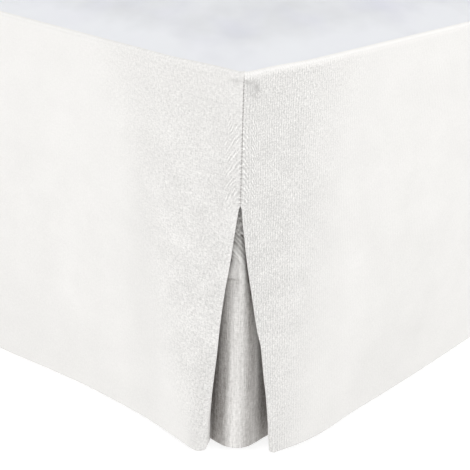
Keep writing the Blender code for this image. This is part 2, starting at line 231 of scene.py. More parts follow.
# Creases of the insert: distance around the corner from its ridge, to the right
INSERT_CREASES = (
    Crease(-0.0025, 0.1685, 0.0100, 0.0014, -27.0, 0.0010),
    Crease(0.0015, 0.1950, 0.0240, 0.0018, -2.0, 0.0006),
    Crease(-0.0045, 0.1590, 0.0070, 0.0012, -40.0, -0.0006),
    Crease(0.0010, 0.1480, 0.0080, 0.0013, -46.0, 0.0005),
    Crease(0.0055, 0.1780, 0.0300, 0.0016, -8.0, -0.0009),
    Crease(-0.0098, 0.1775, 0.0060, 0.0030, 16.0, -0.0013),
    Crease(-0.0060, 0.1870, 0.0100, 0.0040, 10.0, 0.0005),
    Crease(-0.0055, 0.1955, 0.0045, 0.0012, 86.0, -0.0008),
    Crease(-0.0015, 0.1985, 0.0030, 0.0010, 70.0, -0.0004),
    Crease(0.0120, 0.2400, 0.0600, 0.0040, -4.0, -0.0004),
    Crease(-0.0110, 0.2800, 0.0900, 0.0040, 3.0, -0.0003),
    Crease(0.0200, 0.3000, 0.0900, 0.0040, -3.0, 0.0003),
)
# Painted light on the insert, as shares of its range from dark to pale
INSERT_PAINTED_LIGHT = (
    Crease(-0.0045, 0.1700, 0.0120, 0.0070, 0.0, 0.17),
    Crease(0.0010, 0.1890, 0.0100, 0.0060, 0.0, 0.08),
)

# Weave of the drops: a thread's width and length, contrast, how much fainter at the top, ribs, the painted
# highlight of the top edge, then where the clear weave and the painted shade beside the seam start to fade,
# over what distance, and how much sooner at the hem
Weave = namedtuple("Weave", "width length contrast faint ribs edge start fade narrow")
FOOT_WEAVE = Weave(
    0.0017, 0.0038, 0.86, faint=0.38, ribs=0.06, edge=0.20, start=0.087, fade=0.130, narrow=1.4,
)
SIDE_WEAVE = Weave(
    0.0008, 0.0046, 1.20, faint=0.0, ribs=0.23, edge=0.75, start=0.050, fade=0.140, narrow=0.0,
)

# Side drops. Shadow is how much darker the cloth is beside the seam, rows the fine and the coarse step
Side = namedtuple("Side", "folds creases dents shades shadow rows columns seed")
SIDES = {
    "right": Side(RIGHT_FOLDS, RIGHT_CREASES, DENTS, RIGHT_PAINTED_SHADING, 0.12, (0.0009, 0.0045), 96, seed=23),
    "left": Side(LEFT_FOLDS, LEFT_CREASES, (), (), 0.0, (0.0010, 0.0055), 80, seed=37),
}

# Steps of the grids
EDGE_STEPS = {"return": 5, "fold": 10, "rounding": 8}
FOOT_ROWS = (0.0009, 0.0045)
ROLL_STEPS = 9
SEAM_ROWS_START = 0.034
SEAM_ROWS_PAST = 0.028
HEM_ROWS_DEPTH = 0.012
INSERT_ROW = 0.0009
INSERT_FINE_END = 0.215
INSERT_STEPS = 14
FINE_REACH = 0.036
FINE_COLUMN = 0.00075
ROLL_DEPTH = (PANEL_TOP - TOP - ROLL_RISE + ROLL_RADIUS) / FALL

# Box spring cover and its welts
COVER_RADIUS = 0.045
WELT_INSET = 0.0035
WELT_DROP = 0.0065

# Profile of a leg's glide: radius and height
GLIDE = (
    (0.0226, 0.0), (0.0240, 0.0004), (0.0252, 0.0030), (0.0252, 0.0130), (0.0246, 0.0150), (0.0226, 0.0152),
)

# Soft boxes of the studio: place, target, size and watts
LIGHTS = (
    ("Foot soft box", (-0.25, -4.70, 1.5), (0.55, -1.0, 0.2), (1.8, 1.6), 47.0),
    ("Side soft box", (4.45, 0.05, 1.5), (0.78, -0.7, 0.2), (1.8, 1.6), 47.0),
    ("Ceiling soft box", (0.2, -0.2, 4.2), (0.2, -0.2, 0.3), (4.0, 4.0), 40.0),
    ("Back soft box", (-3.6, 3.8, 2.4), (0.0, 0.3, 0.2), (3.0, 2.0), 34.0),
)

# Photo: its side and the deck's corner in pixels, and the width of the camera's sensor in millimetres
PICTURE = 470.0
CORNER_PIXEL = (244.7, 77.6)
SENSOR = 36.0

WHITE = (1.0, 1.0, 1.0, 1.0)
UP = np.array([0.0, 0.0, 1.0])


def colour_setting(name, description, default):
    """Property for a colour."""
    return FloatVectorProperty(
        name=name, description=description, subtype="COLOR", size=3, default=default, min=0.0, max=1.0,
    )


def length_setting(name, description, default, low, high):
    """Property for a length in metres."""
    return FloatProperty(
        name=name, description=description, default=default, min=low, max=high, precision=5, unit="LENGTH",
    )


def angle_setting(name, description, degrees):
    """Property for an angle."""
    return FloatProperty(name=name, description=description, default=math.radians(degrees), subtype="ANGLE")


class BedSkirtCloth(bpy.types.PropertyGroup):
    """Thickness and colours of the cloth."""

    thickness: length_setting("Drop thickness", "Thickness of the drops and inserts", 0.0006, 0.0003, 0.003)
    deck_thickness: length_setting("Deck thickness", "Thickness of its sheeting", 0.0005, 0.0003, 0.003)
    linen: colour_setting("Linen", "Colour of the drops and inserts", (0.748, 0.738, 0.721))
    sheeting: colour_setting("Sheeting", "Colour of the deck", (0.780, 0.792, 0.818))
    # The thread's colour is painted shade: linen grey as in shadow, standing in for the shade in the
    # stitches' notches
    thread: colour_setting("Thread", "Colour of the corner stitches", (0.30, 0.29, 0.28))
    weave_pitch: length_setting("Weave pitch", "Half the distance between two ribs", 0.0014, 0.0003, 0.004)


class BedSkirtBase(bpy.types.PropertyGroup):
    """Finish of the box spring and the frame."""

    ticking: colour_setting("Ticking", "Colour of the box spring's cover", (0.70, 0.68, 0.64))
    steel: colour_setting("Steel", "Colour of the powder-coated frame", (0.035, 0.036, 0.040))
    side_bulge: length_setting("Side bulge", "How far the box spring's sides bow out", 0.002, 0.0, 0.008)
    welt_radius: length_setting("Welt radius", "Radius of the cord along its edges", 0.0030, 0.001, 0.008)


class BedSkirtStudio(bpy.types.PropertyGroup):
    """Camera, floor and lights."""

    lens: FloatProperty(name="Lens", description="Focal length of the camera, in millimetres", default=89.37)
    distance: length_setting("Distance", "From the camera to the deck's corner", 0.9714, 0.3, 9.0)
    heading: angle_setting("Heading", "How far the view turns left from the bed's length", 43.15)
    pitch: angle_setting("Pitch", "How far the view looks down", 22.23)
    roll: angle_setting("Roll", "How far the camera leans", 1.58)
    floor: colour_setting("Floor", "Colour of the floor", (0.50, 0.50, 0.50))


PARTS_OF_ADDON = [BedSkirtCloth, BedSkirtBase, BedSkirtStudio]


def ease(part):
    """Smooth step: 3p^2 - 2p^3 of the part clipped to 0 to 1."""
    part = np.clip(part, 0.0, 1.0)
    return part * part * (3.0 - 2.0 * part)


def ramp(value, start, width):
    """Smooth step of a value that leaves 0 at the start and reaches 1 a width further on."""
    return ease((value - start) / width)


def bell(value, middle, width):
    """Bell curve, exp(-((value - middle) / width)^2)."""
    return np.exp(-((value - middle) / width) ** 2)


def between(ends, part):
    """Straight blend from the first end to the second."""
    start, end = ends
    return start + (end - start) * part


def shares(count, first=1):
    """Column of the shares of a run: first / count, and so on to 1."""
    return np.arange(first, count + 1)[:, None] / count


def through(rows, along):
    """Cubic curve through a table's rows, sloping at each row like the line between the row's neighbours."""
    place, value = np.array(rows, float).T
    along = np.clip(along, place[0], place[-1])
    row = np.clip(np.searchsorted(place, along, side="right") - 1, 0, len(place) - 2)
    index = np.arange(len(place))
    before = np.maximum(index - 1, 0)
    after = np.minimum(index + 1, len(place) - 1)
    slope = (value[after] - value[before]) / (place[after] - place[before])
    span = place[row + 1] - place[row]
    part = (along - place[row]) / span
    leave = part * (1.0 - part) ** 2 * slope[row]
    arrive = part * part * (part - 1.0) * slope[row + 1]
    return between((value[row], value[row + 1]), ease(part)) + span * (leave + arrive)


def mirrored(rows, length):
    """A table of folds measured from the other end."""
    return tuple((length - along, swing) for along, swing in reversed(rows))


def mirrored_creases(creases, length):
    """A table of creases measured from the other end."""
    return tuple(row._replace(along=length - row.along, lean_deg=-row.lean_deg) for row in creases)


def creased(creases, along, depth):
    """Sum of soft ridges: height exp(-(across / width)^2 - (lengthwise / length)^2), turned by the lean."""
    total = np.zeros(np.broadcast(along, depth).shape)
    for crease in creases:
        lean = math.radians(crease.lean_deg)
        side = along - crease.along
        down = depth - crease.depth
        across = (side * math.cos(lean) + down * math.sin(lean)) / crease.width
        lengthwise = (down * math.cos(lean) - side * math.sin(lean)) / crease.length
        total = total + crease.height * np.exp(-across ** 2 - lengthwise ** 2)
    return total


def uneven(along, depth, scale, seed):
    """Slow unevenness from -1 to 1: the mean of four sine waves of unlike directions and lengths."""
    turns = np.random.default_rng(seed).uniform(0.0, 2.0 * math.pi, (4, 2))
    total = 0.0
    for number, (direction, phase) in enumerate(turns):
        length = scale * (0.7 + 0.25 * number)
        way = along * math.cos(direction) + depth * math.sin(direction)
        total = total + np.sin(2.0 * math.pi * way / length + phase)
    return total / len(turns)


def pull_share(distance):
    """Share of the corner's pull that is left at a distance from it."""
    start, end = PULL_REACH
    return 1.0 - ramp(distance, start, end - start)


def pull_at(from_corner, depth):
    """How far the cloth is pulled in beside a corner, most at the deck and not at all at the hem."""
    return CORNER_PULL * pull_share(from_corner) * (1.0 - depth / DROP)


def swing_at(folds, along, depth):
    """How far the cloth has swung out: the hem's swing times (depth / drop)^1.25."""
    return through(folds, along) * (depth / DROP) ** SWING_CURVE


def puckers(from_corner, depth, reach, slope, seed):
    """Small ridges from -1 to 1 that run down and away from the seam's stitches and fade within centimetres.

    The sine of 2 pi (depth - slope distance - 14 distance^2 + wander) / pitch, times bells of both.
    """
    away = np.maximum(from_corner - 0.0095, 0.0)
    wander = 0.0016 * uneven(from_corner, depth, 0.034, seed)
    wander = wander + 0.0009 * uneven(from_corner, depth, 0.011, seed + 2)
    phase = 2.0 * math.pi * (depth - slope * away - PUCKER_BEND * away ** 2 + wander) / PUCKER_PITCH
    near = np.exp(-(away / reach) ** 3) * (0.40 + 0.60 * ease(away / 0.005))
    along_seam = ramp(depth, 0.026, 0.026) * (1.0 - ramp(depth, SEAM - 0.012, 0.026))
    patchy = (0.48 + 1.25 * uneven(from_corner, 0.7 * depth, 0.0085, seed + 1)).clip(0.06, 1.10)
    return near * along_seam * patchy * np.sin(phase)


Section = namedtuple("Section", "along inward turn cloth")
# A grid's tone is painted shade and light kept on its cloth, as a share of its material's range from dark to
# pale
Grid = namedtuple("Grid", "points cloth from_corner tone")


def turned_edge(folds, split, depth):
    """Section of a turned-in edge: rounding arc, tight fold arc, straight return. Columns by rows.

    An arc of radius R from heading a to b moves the point by -R (sin b - sin a) along and R (cos a - cos b)
    inward. Turn is the heading, 0 along the drop, and cloth the length of cloth from the outer face's end.
    """
    part = np.clip((depth - SEAM) / (DROP - SEAM), 0.0, 1.0)
    rounding = np.radians(between(ROUNDING_DEG, 1.0 - (1.0 - part) ** ROUNDING_CURVE))
    turn = np.radians(between((SEAM_TURN_DEG, split.turn_deg), part ** TURN_CURVE))
    radius = between((SEAM_FOLD_RADIUS, split.radius), part ** RADIUS_CURVE)
    length = between((SEAM_RETURN, split.back), part ** RETURN_CURVE)
    length = length * (0.04 + 0.96 * ease(depth / RETURN_START))
    sine = math.sin(math.radians(ROUNDING_DEG[0]))
    at_seam = CORNER_PULL * (1.0 - np.minimum(depth, SEAM) / DROP) + CORNER_RADIUS * (1.0 - sine)
    at_seam = at_seam + SEAM_FOLD_RADIUS * (3.0 * sine - 1.0) + SEAM_GAP * sine
    closing = (1.0 - ramp(depth, SEAM, CLOSING)) * swing_at(folds, at_seam + 0.0088, depth)
    stray = APEX_GAP * ramp(depth, SEAM, 0.004) * (1.0 - part) + through(split.wander, part)
    tip = at_seam + split.opening * part ** split.curve + stray - closing
    back = tip + CORNER_RADIUS * np.sin(rounding) + radius * (1.0 - np.sin(rounding))
    inward = pull_at(back, depth) - swing_at(folds, back, depth)

    round_turn = rounding * shares(EDGE_STEPS["rounding"], first=0)
    round_along = back - CORNER_RADIUS * np.sin(round_turn)
    round_inward = inward + CORNER_RADIUS * (1.0 - np.cos(round_turn))
    round_cloth = CORNER_RADIUS * round_turn

    fold_turn = between((rounding, turn), shares(EDGE_STEPS["fold"]))
    fold_along = round_along[-1] - radius * (np.sin(fold_turn) - np.sin(rounding))
    fold_inward = round_inward[-1] + radius * (np.cos(rounding) - np.cos(fold_turn))
    fold_cloth = round_cloth[-1] + radius * (fold_turn - rounding)

    back_cloth = length * shares(EDGE_STEPS["return"])
    return Section(
        along=np.vstack([round_along, fold_along, fold_along[-1] - back_cloth * np.cos(turn)]),
        inward=np.vstack([round_inward, fold_inward, fold_inward[-1] + back_cloth * np.sin(turn)]),
        turn=np.vstack([round_turn, fold_turn, turn + 0.0 * back_cloth]),
        cloth=np.vstack([round_cloth, fold_cloth, fold_cloth[-1] + back_cloth]),
    )


def crowded_start(run, count):
    """Shares of a run, fine beside the corner and then ever wider.

    Past the fine reach they go on by reach + (run - reach) (a p + (1 - a) p^1.6).
    """
    fine = np.arange(FINE_COLUMN, FINE_REACH, FINE_COLUMN)
    part = np.arange(0, count + 1) / count
    even = FINE_COLUMN * count / (run - FINE_REACH)
    wide = between((FINE_REACH, run), even * part + (1.0 - even) * part ** 1.6)
    return (np.concatenate([fine, wide]) / run)[:, None]


def crowded_ends(run, count):
    """Shares of a run that are fine beside both of its corners."""
    half = crowded_start(run / 2.0, count) / 2.0
    return np.concatenate([half, 1.0 - half[-2::-1]])


def drop_rows(fine_step, coarse_step):
    """Rows of a drop: their depths, their inward roll and their heights.

    They are fine along the sewn seam, coarse below it and closer again at the hem. The rows of the rolled top
    edge come before them, and at an angle a the roll has moved in by r (1 - cos a) and up by r sin a.
    """
    seam_end = SEAM + SEAM_ROWS_PAST
    depth = np.concatenate([
        np.full(ROLL_STEPS, ROLL_DEPTH),
        np.arange(ROLL_DEPTH, SEAM_ROWS_START, fine_step * 1.25),
        np.arange(SEAM_ROWS_START, seam_end, fine_step),
        np.arange(seam_end, DROP - HEM_ROWS_DEPTH, coarse_step),
        np.linspace(DROP - HEM_ROWS_DEPTH, DROP, 7),
    ])
    angle = np.radians(np.linspace(ROLL_DEG, 0.0, ROLL_STEPS, endpoint=False))
    roll = np.zeros(len(depth))
    roll[:ROLL_STEPS] = ROLL_RADIUS * (1.0 - np.cos(angle))
    height = PANEL_TOP - FALL * depth
    height[:ROLL_STEPS] += ROLL_RADIUS * np.sin(angle)
    return depth, roll, height


def finish_section(section, relief, roll):
    """Adds relief to a section along its outward normal, (-sin turn, -cos turn), and moves its top rows in.

    The rolled rows move along the inward normal, and an edge's fold and return move with the seam.
    """
    lean = np.clip(section.turn, -math.pi / 4.0, math.pi / 4.0)
    along = section.along - np.sin(section.turn) * relief + np.sin(lean) * roll
    inward = section.inward - np.cos(section.turn) * relief + np.cos(lean) * roll
    return along, inward


def folded_hem(place, line, width):
    """Relief of a folded hem: a step up onto the doubled cloth, and the dip of its stitched line."""
    return HEM_STEP * ramp(place, line - 0.0015, 0.003) - HEM_LINE * bell(place, line, width)


def sheet_relief(creases, cloth, from_corner, pucker, depth, seed):
    """Relief of a drop: creases, seam puckers and slow unevenness, none at its edge, and the folded hem."""
    slow = 0.0005 * uneven(cloth, depth, 0.170, seed) * ease(depth / 0.060)
    held = ramp(from_corner, 0.0092, 0.0040)
    relief = (creased(creases, cloth, depth) + PUCKER_HEIGHT * pucker + slow) * held
    return relief + folded_hem(depth, DROP - HEM_DEPTH, 0.0010)


def foot_grid():
    """Grid of the foot drop from its left to its right corner."""
    depth, roll, height = drop_rows(*FOOT_ROWS)
    folds = mirrored(FOOT_FOLDS, WIDTH)
    left = turned_edge(folds, SPLITS["left_foot"], depth)
    right = turned_edge(FOOT_FOLDS, SPLITS["right_foot"], depth)
    start = left.along[0]
    end = WIDTH - right.along[0]
    main = start + (end - start) * crowded_ends(WIDTH, 36)
    inward = pull_at(np.minimum(main, WIDTH - main), depth) - swing_at(folds, main, depth)
    section = Section(
        along=np.vstack([left.along[::-1], main, WIDTH - right.along]),
        inward=np.vstack([left.inward[::-1], inward, right.inward]),
        turn=np.vstack([left.turn[::-1], 0.0 * main, -right.turn]),
        cloth=np.vstack([start - left.cloth[::-1], main, end + right.cloth]),
    )
    cloth = section.cloth
    from_corner = np.minimum(cloth, WIDTH - cloth)
    pucker = puckers(from_corner, depth, 0.0140, 1.25, seed=12)
    creases, dents, shades = (
        mirrored_creases(rows, WIDTH) for rows in (FOOT_CREASES, FOOT_DENTS, FOOT_PAINTED_SHADING)
    )
    dents = creased(dents, cloth, depth) * ramp(from_corner, FLAT_CORNER, 0.0020)
    relief = sheet_relief(creases, cloth, from_corner, pucker, depth, seed=11) + dents
    along, inward = finish_section(section, relief, roll)
    height = height + 0.0 * along
    # Tone: painted shade and light of the puckers, painted shade in the dents, and the painted shading of the
    # soft folds
    return Grid(
        points=np.stack([DECK_LOW[0] + along, DECK_LOW[1] + inward, height], axis=-1),
        cloth=np.stack([cloth, height], axis=-1), from_corner=from_corner,
        tone=PUCKER_PAINTED_SHADING * pucker + DENT_PAINTED_SHADE * dents + creased(shades, cloth, depth),
    )


def side_grid(side):
    """Grid of a side drop: the right one from the foot corner to the head, the left one from head to foot."""
    make = SIDES[side]
    depth, roll, height = drop_rows(*make.rows)
    edge = turned_edge(make.folds, SPLITS[f"{side}_side"], depth)
    start = edge.along[0]
    main = start + (LENGTH - start) * crowded_start(LENGTH, make.columns)
    inward = pull_at(main, depth) - swing_at(make.folds, main, depth)
    section = Section(
        along=np.vstack([edge.along[::-1], main]), inward=np.vstack([edge.inward[::-1], inward]),
        turn=np.vstack([edge.turn[::-1], 0.0 * main]), cloth=np.vstack([start - edge.cloth[::-1], main]),
    )
    cloth = section.cloth
    pucker = 1.1 * puckers(cloth, depth, 0.0115, 1.70, make.seed + 1)
    broken = 1.0 + 0.7 * uneven(cloth, depth, 0.0042, 31)
    dents = broken * creased(make.dents, cloth, depth) * ramp(cloth, FLAT_CORNER, 0.0020)
    relief = sheet_relief(make.creases, cloth, cloth, pucker, depth, make.seed) + dents
    along, inward = finish_section(section, relief + folded_hem(cloth, LENGTH - HEAD_HEM, 0.0012), roll)
    height = height + 0.0 * along
    # Painted shading of the soft folds and painted shadow beside the seam; the tone adds painted shade and
    # light of the puckers and painted shade in the dents
    shade = creased(make.shades, cloth, depth) - make.shadow * bell(cloth, 0.0, 0.085)
    x = DECK_HIGH[0] - inward if side == "right" else DECK_LOW[0] + inward
    grid = Grid(
        points=np.stack([x, DECK_LOW[1] + along, height], axis=-1),
        cloth=np.stack([cloth, height], axis=-1), from_corner=cloth,
        tone=PUCKER_PAINTED_SHADING * pucker + DENT_PAINTED_SHADE * dents + shade,
    )
    return grid if side == "right" else turned_over(grid)


def turned_over(grid):
    """A grid with its columns in the other order, for a sheet whose outer face looks the other way."""
    return Grid(*(values[::-1] for values in grid))


def insert_folds(creases, cloth, depth):
    """Folds of an insert, as relief, and its tone of painted shade and light: swirls of cloth below the seam
    and a tangle above them.
    """
    wander = 0.0013 * uneven(cloth, depth, 0.020, 8) + 0.0008 * uneven(cloth, depth, 0.008, 9)
    swirl = np.sin(2.0 * math.pi * (depth - 1.5 * cloth - 70.0 * cloth ** 2 + wander) / INSERT_SWIRL)
    swirl = swirl * ramp(depth, 0.136, 0.012) * (1.0 - ramp(depth, 0.164, 0.022))
    tangle = uneven(cloth * 1.6, depth * 0.8, 0.0042, 14) + 0.6 * uneven(cloth * 2.0, depth, 0.0028, 15)
    tangle = tangle * (1.0 - ramp(depth, 0.138, 0.026))
    folds = creased(creases, cloth, depth) + SWIRL_HEIGHT * swirl + TANGLE_HEIGHT * tangle
    # Where painted light falls low on the flanks (low) and at the top of the split (opening), and painted
    # shade over the top (high)
    low = ramp(depth, 0.340, 0.036) * ramp(np.abs(cloth), 0.014, 0.008)
    high = 1.0 - ramp(depth, 0.180, 0.060)
    opening = ramp(depth, 0.118, 0.008) * (1.0 - ramp(depth, 0.132, 0.022))
    # Tone: painted shading across the insert, painted light, painted shade and light following the folds and
    # the tangle, and the painted light and shade above
    tone = through(INSERT_PAINTED_SHADING, cloth) + creased(INSERT_PAINTED_LIGHT, cloth, depth) + INSERT_FOLD_SHADING * folds
    tone = tone + 0.12 * low - 0.20 * high * ramp(cloth, 0.003, 0.004) - 0.09 * high
    return folds, tone + 0.40 * tangle + 0.24 * opening


def insert_grid(side, creases, seed):
    """Grid of an insert: straight, around the corner, straight. The ridge is at cloth length 0."""
    depth = np.concatenate([
        np.linspace(0.0, SEAM, 12, endpoint=False),
        np.arange(SEAM, INSERT_FINE_END, INSERT_ROW),
        np.arange(INSERT_FINE_END, DROP - 0.010, 0.0035),
        np.linspace(DROP - 0.010, DROP, 6),
    ])
    part = depth / DROP
    foot_inset = between(INSERT_FOOT_INSET, part)
    side_inset = between(INSERT_SIDE_INSET, part)
    radius = between(INSERT_RADIUS, part)
    centre_foot = side_inset + radius
    centre_side = foot_inset + radius
    run = np.arange(INSERT_STEPS)[:, None] / INSERT_STEPS
    far_run = run + 1.0 / INSERT_STEPS
    arc = shares(64, first=0)
    angle = np.pi / 2.0 * arc
    from_foot = np.vstack([
        between((INSERT_REACH, centre_foot), run),
        centre_foot - radius * np.sin(angle),
        side_inset + 0.0 * run,
    ])
    from_side = np.vstack([
        foot_inset + 0.0 * run,
        centre_side - radius * np.cos(angle),
        between((centre_side, INSERT_REACH), far_run),
    ])
    flat = 0.0 * run + 0.0 * radius
    heading = np.vstack([flat, angle + 0.0 * radius, np.pi / 2.0 + flat])
    half_arc = radius * np.pi / 4.0
    cloth = np.vstack([
        -half_arc - (INSERT_REACH - centre_foot) * (1.0 - run),
        half_arc * (2.0 * arc - 1.0),
        half_arc + (INSERT_REACH - centre_side) * far_run,
    ])
    folds, tone = insert_folds(creases, cloth, depth)
    forward = INSERT_FORWARD * ramp(depth, 0.108, 0.024) * (1.0 - 0.85 * ramp(depth, 0.190, 0.120))
    slow = 0.0004 * uneven(cloth, depth * 0.3, 0.030, seed)
    relief = folds + slow + forward * bell(cloth, 0.0, INSERT_SWELL)
    from_foot = from_foot - np.sin(heading) * relief
    from_side = from_side - np.cos(heading) * relief
    height = PANEL_TOP - (PANEL_TOP - HEM) * part + 0.0 * from_foot
    x = DECK_HIGH[0] - from_foot if side == "right" else DECK_LOW[0] + from_foot
    grid = Grid(
        points=np.stack([x, DECK_LOW[1] + from_side, height], axis=-1),
        cloth=np.stack([cloth, height], axis=-1), from_corner=np.zeros(height.shape), tone=tone,
    )
    return grid if side == "right" else turned_over(grid)


def deck_grid():
    """Grid of the deck: a rectangle drawn in at the foot, each foot corner mapped onto a quarter disc.

    A point (a, b) of the corner's square, measured from the disc's centre, moves to
    (a, b) max(a, b) / hypot(a, b). Low waves run across the deck, and it lies flat along its edges.
    """
    inset = ROLL_RADIUS * (1.0 - math.cos(math.radians(ROLL_DEG))) - 0.0014
    half = WIDTH / 2.0 - inset
    foot = DECK_LOW[1] + inset
    across = np.linspace(-1.0, 1.0, 150)
    across = np.sign(across) * (1.0 - (1.0 - np.abs(across)) ** 1.5)
    down = np.linspace(0.0, 1.0, 170) ** 1.5
    x = (half * across)[:, None] + 0.0 * down
    y = between((foot, DECK_HIGH[1]), down) + 0.0 * x
    radius = CORNER_RADIUS - inset
    a = (np.abs(x) - (half - radius)) / radius
    b = ((foot + radius) - y) / radius
    inside = (a > 0.0) & (b > 0.0)
    share = np.where(inside, np.maximum(a, b) / np.maximum(np.hypot(a, b), 1e-9), 1.0)
    x = np.where(inside, np.sign(x) * (half - radius + radius * a * share), x)
    y = np.where(inside, foot + radius - radius * b * share, y)
    from_side = half - np.abs(x)
    from_foot = y - foot
    x = x - np.sign(x) * CORNER_PULL * pull_share(from_foot) * (1.0 - from_side / half)
    y = y + CORNER_PULL * pull_share(from_side) * (1.0 - ease(from_foot / 0.5))
    from_edge = np.minimum(from_side, from_foot)
    waves = 0.5 + 0.5 * uneven(x, 0.55 * y, 0.240, seed=5)
    small = 0.5 + 0.5 * uneven(x + 0.3 * y, y, 0.090, seed=6)
    z = TOP - 0.0010 + ease(from_edge / 0.060) * (0.0018 * waves + 0.0008 * small)
    points = np.stack([x, y, z], axis=-1)[:, ::-1]
    return Grid(points, points[..., :2], from_edge[:, ::-1], 0.0 * from_edge)


def placed(name, mesh, material):
    """New object of a finished mesh, smooth and with its material."""
    mesh.shade_smooth()
    mesh.materials.append(material)
    piece = bpy.data.objects.new(name, mesh)
    bpy.context.scene.collection.objects.link(piece)
    return piece


def faces_piece(name, points, faces, material):
    """Object of points and faces."""
    mesh = bpy.data.meshes.new(name)
    mesh.from_pydata(points.reshape(-1, 3).tolist(), [], faces)
    mesh.update()
    return placed(name, mesh, material)


def sheet_piece(name, grid, thickness, material):
    """Closed sheet on a grid, columns by rows from the top, thickened inward from its outer face."""
    columns, rows = grid.points.shape[:2]
    number = np.arange(columns * rows).reshape(columns, rows)
    corners = [number[:-1, :-1], number[:-1, 1:], number[1:, 1:], number[1:, :-1]]
    loops = np.stack(corners, axis=-1).reshape(-1)
    mesh = bpy.data.meshes.new(name)
    mesh.vertices.add(columns * rows)
    mesh.vertices.foreach_set("co", grid.points.reshape(-1).astype(np.float32))
    mesh.loops.add(len(loops))
    mesh.loops.foreach_set("vertex_index", loops.astype(np.int32))
    mesh.polygons.add(len(loops) // 4)
    mesh.polygons.foreach_set("loop_start", np.arange(0, len(loops), 4, dtype=np.int32))
    layer = mesh.uv_layers.new(name="Cloth")
    layer.data.foreach_set("uv", grid.cloth.reshape(-1, 2)[loops].reshape(-1).astype(np.float32))
    # The tone attribute carries the sheet's painted shade and light
    for label, values in (("from_corner", grid.from_corner), ("tone", grid.tone)):
        field = mesh.attributes.new(label, "FLOAT", "POINT")
        field.data.foreach_set("value", values.reshape(-1).astype(np.float32))
    mesh.update(calc_edges=True)
    mesh.validate()
    piece = placed(name, mesh, material)
    thick = piece.modifiers.new("Cloth thickness", "SOLIDIFY")
    thick.thickness = thickness
    thick.offset = -1.0
    return piece


class Wire:
    """A socket of a material's nodes that can stand in Python sums."""

    def __init__(self, nodes, socket):
        self.nodes = nodes
        self.socket = socket

    def sum_with(self, operation, other, swapped=False):
        """Math node on this socket and another value."""
        pair = (other, self) if swapped else (self, other)
        return self.nodes.add("ShaderNodeMath", {"operation": operation}, {0: pair[0], 1: pair[1]})

    def __add__(self, other):
        return self.sum_with("ADD", other)

    __radd__ = __add__

    def __mul__(self, other):
        return self.sum_with("MULTIPLY", other)

    __rmul__ = __mul__

    def __sub__(self, other):
        return self.sum_with("SUBTRACT", other)

    def __rsub__(self, other):
        return self.sum_with("SUBTRACT", other, swapped=True)

    def __truediv__(self, other):
        return self.sum_with("DIVIDE", other)

    def __pow__(self, other):
        return self.sum_with("POWER", other)

    def function(self, operation):
        """Math node of this socket alone, such as SINE or ABSOLUTE."""
        return self.nodes.add("ShaderNodeMath", {"operation": operation}, {0: self})

    def clipped(self):
        """The value kept between 0 and 1."""
        return self.nodes.add("ShaderNodeClamp", {}, {"Value": self})

    def wave(self, pitch):
        """Sine of pi times the value over the pitch."""
        return (self * (math.pi / pitch)).function("SINE")

    def ribs(self, pitch):
        """The wave's absolute value, a rib to each pitch."""
        return self.wave(pitch).function("ABSOLUTE")


